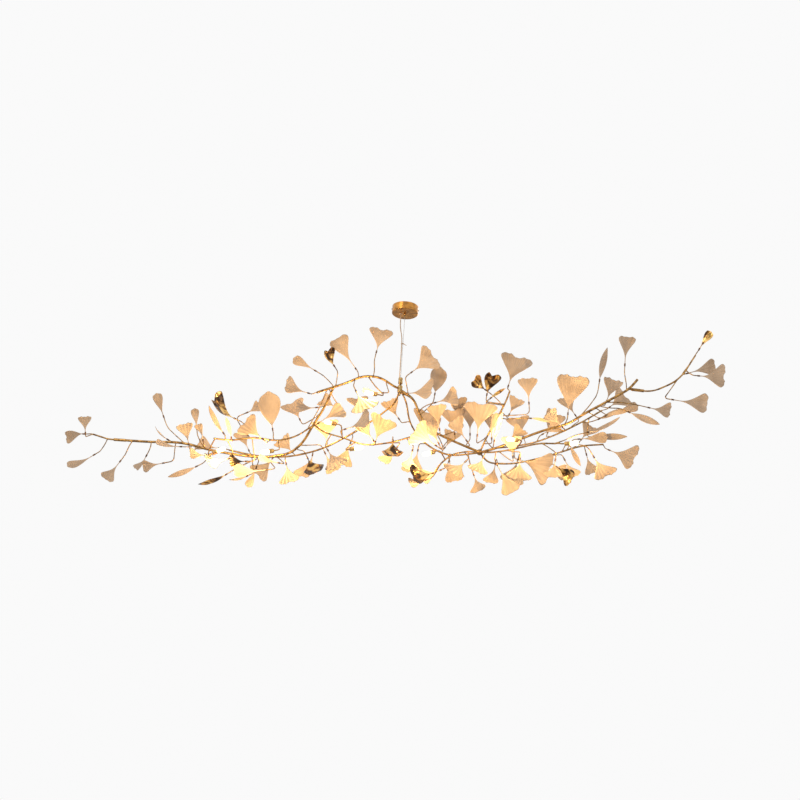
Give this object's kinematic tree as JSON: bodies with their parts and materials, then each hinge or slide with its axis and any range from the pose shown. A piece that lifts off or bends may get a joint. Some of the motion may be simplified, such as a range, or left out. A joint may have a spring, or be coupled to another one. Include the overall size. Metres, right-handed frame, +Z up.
{
  "type": "branch chandelier",
  "caption": "Long branch chandelier of curved brass boughs with porcelain and gilded ginkgo leaves and capsule lamps, hung on one steel wire below a round canopy.",
  "frame": {"origin": "centre of the ceiling face, where the bracket meets the ceiling on the suspension wire's line", "axes": "+Z up into the ceiling, +X along the tangle towards its raised end, -Y towards the side that the picture shows"},
  "size_m": [2.4407, 0.5317, 0.7951],
  "materials": {
    "galvanised_steel": "zinc plated pressed steel",
    "polished_fittings": "turned brass, gold lacquer",
    "brushed_gold": "brushed gold, satin lacquer",
    "steel_wire": "stranded steel wire",
    "cord_sheath": "champagne flexible sheath",
    "terminal_plastic": "moulded",
    "antique_brass": "brown-gold patinated brass",
    "dark_brass": "dark bronze patina",
    "holder_brass": "spun brass sleeve over a lamp socket",
    "porcelain": "thin glazed porcelain",
    "gilded_porcelain": "mirror gold over porcelain",
    "lit_glass": "frosted capsule, lit warm white"
  },
  "bodies": {
    "ceiling_fitting": {"ceiling_bracket": "galvanised_steel", "gripper_nut": "galvanised_steel", "gripper_body": "polished_fittings", "terminal_block": "terminal_plastic", "earth_screw": "galvanised_steel", "suspension_wire": "steel_wire", "wire_stop": "polished_fittings", "power_cord": "cord_sheath", "cord_tie": "cord_sheath", "coupling_cap": "polished_fittings", "coupling_ring": "polished_fittings"},
    "canopy_assembly": {"canopy": "brushed_gold", "canopy_side_screws": "polished_fittings", "cord_grommet": "cord_sheath"},
    "gripper_release": {"gripper_nipple": "polished_fittings"},
    "left_tip": {"left_tip_bough": "antique_brass", "left_tip_leaves": "porcelain", "left_tip_ferrules": "dark_brass"},
    "right_tip": {"right_tip_bough": "antique_brass", "right_tip_leaves": "porcelain", "right_tip_gilded_leaf": "gilded_porcelain", "right_tip_ferrules": "dark_brass"},
    "fixture": {"centre_back_bough": "antique_brass", "centre_bough": "antique_brass", "centre_leaves": "porcelain", "ferrules": "dark_brass", "hub": "polished_fittings", "hub_cover": "polished_fittings", "lamp_holders": "holder_brass", "left_bough": "antique_brass", "left_gilded_leaves": "gilded_porcelain", "left_leaves": "porcelain", "left_upper_bough": "antique_brass", "left_upper_leaves": "porcelain", "low_centre_bough": "antique_brass", "low_centre_leaves": "porcelain", "low_gold_bough": "antique_brass", "rear_left_bough": "antique_brass", "rear_left_leaves": "porcelain", "right_bough": "antique_brass", "right_front_bough": "antique_brass", "right_front_leaves": "porcelain", "right_gilded_leaves": "gilded_porcelain", "right_leaves": "porcelain", "right_low_bough": "antique_brass", "right_low_leaves": "porcelain", "right_rear_bough": "antique_brass", "right_rear_leaves": "porcelain", "swivel_stem": "polished_fittings", "tall_bough": "antique_brass", "upper_arc_bough": "antique_brass", "upper_arc_leaves": "porcelain"},
    "bulb_1_lamp": {"bulb_1": "lit_glass"},
    "bulb_2_lamp": {"bulb_2": "lit_glass"},
    "bulb_3_lamp": {"bulb_3": "lit_glass"},
    "bulb_4_lamp": {"bulb_4": "lit_glass"},
    "bulb_5_lamp": {"bulb_5": "lit_glass"},
    "bulb_6_lamp": {"bulb_6": "lit_glass"},
    "bulb_7_lamp": {"bulb_7": "lit_glass"},
    "bulb_8_lamp": {"bulb_8": "lit_glass"}
  },
  "joints": [
    {"name": "canopy_lowering", "type": "slide", "parent": "ceiling_fitting", "child": "canopy_assembly", "axis": [0, 0, -1], "range_m": [0, 0.04]},
    {"name": "gripper_press", "type": "slide", "parent": "ceiling_fitting", "child": "gripper_release", "axis": [0, 0, 1], "range_m": [0, 0.0025], "stiffness_N_per_m": 400, "springref_m": -0.002},
    {"name": "fixture_swivel", "type": "hinge", "parent": "ceiling_fitting", "child": "fixture", "pos_m": [0, 0, -0.33], "axis": [0, 0, 1], "range_deg": [-170, 170]},
    {"name": "left_tip_turn", "type": "hinge", "parent": "fixture", "child": "left_tip", "pos_m": [-1.036, 0.072, -0.608], "axis": [-1, 0, 0], "range_deg": [-25, 25]},
    {"name": "right_tip_turn", "type": "hinge", "parent": "fixture", "child": "right_tip", "pos_m": [0.845, -0.178, -0.366], "axis": [0.9505, -0.2601, -0.1701], "range_deg": [-25, 25]},
    {"name": "bulb_1_pull", "type": "slide", "parent": "fixture", "child": "bulb_1_lamp", "axis": [0.8818, -0.3746, 0.2865], "range_m": [0, 0.015]},
    {"name": "bulb_2_pull", "type": "slide", "parent": "fixture", "child": "bulb_2_lamp", "axis": [-0.8937, -0.309, -0.3253], "range_m": [0, 0.015]},
    {"name": "bulb_3_pull", "type": "slide", "parent": "fixture", "child": "bulb_3_lamp", "axis": [0.9698, -0.1736, 0.171], "range_m": [0, 0.015]},
    {"name": "bulb_4_pull", "type": "slide", "parent": "fixture", "child": "bulb_4_lamp", "axis": [-0.8613, -0.5, -0.0905], "range_m": [0, 0.015]},
    {"name": "bulb_5_pull", "type": "slide", "parent": "fixture", "child": "bulb_5_lamp", "axis": [-0.8548, -0.309, -0.4169], "range_m": [0, 0.015]},
    {"name": "bulb_6_pull", "type": "slide", "parent": "fixture", "child": "bulb_6_lamp", "axis": [-0.8851, -0.4384, -0.1561], "range_m": [0, 0.015]},
    {"name": "bulb_7_pull", "type": "slide", "parent": "fixture", "child": "bulb_7_lamp", "axis": [0.9921, -0.1045, 0.0694], "range_m": [0, 0.015]},
    {"name": "bulb_8_pull", "type": "slide", "parent": "fixture", "child": "bulb_8_lamp", "axis": [-0.9568, 0.2079, 0.2034], "range_m": [0, 0.015]}
  ]
}
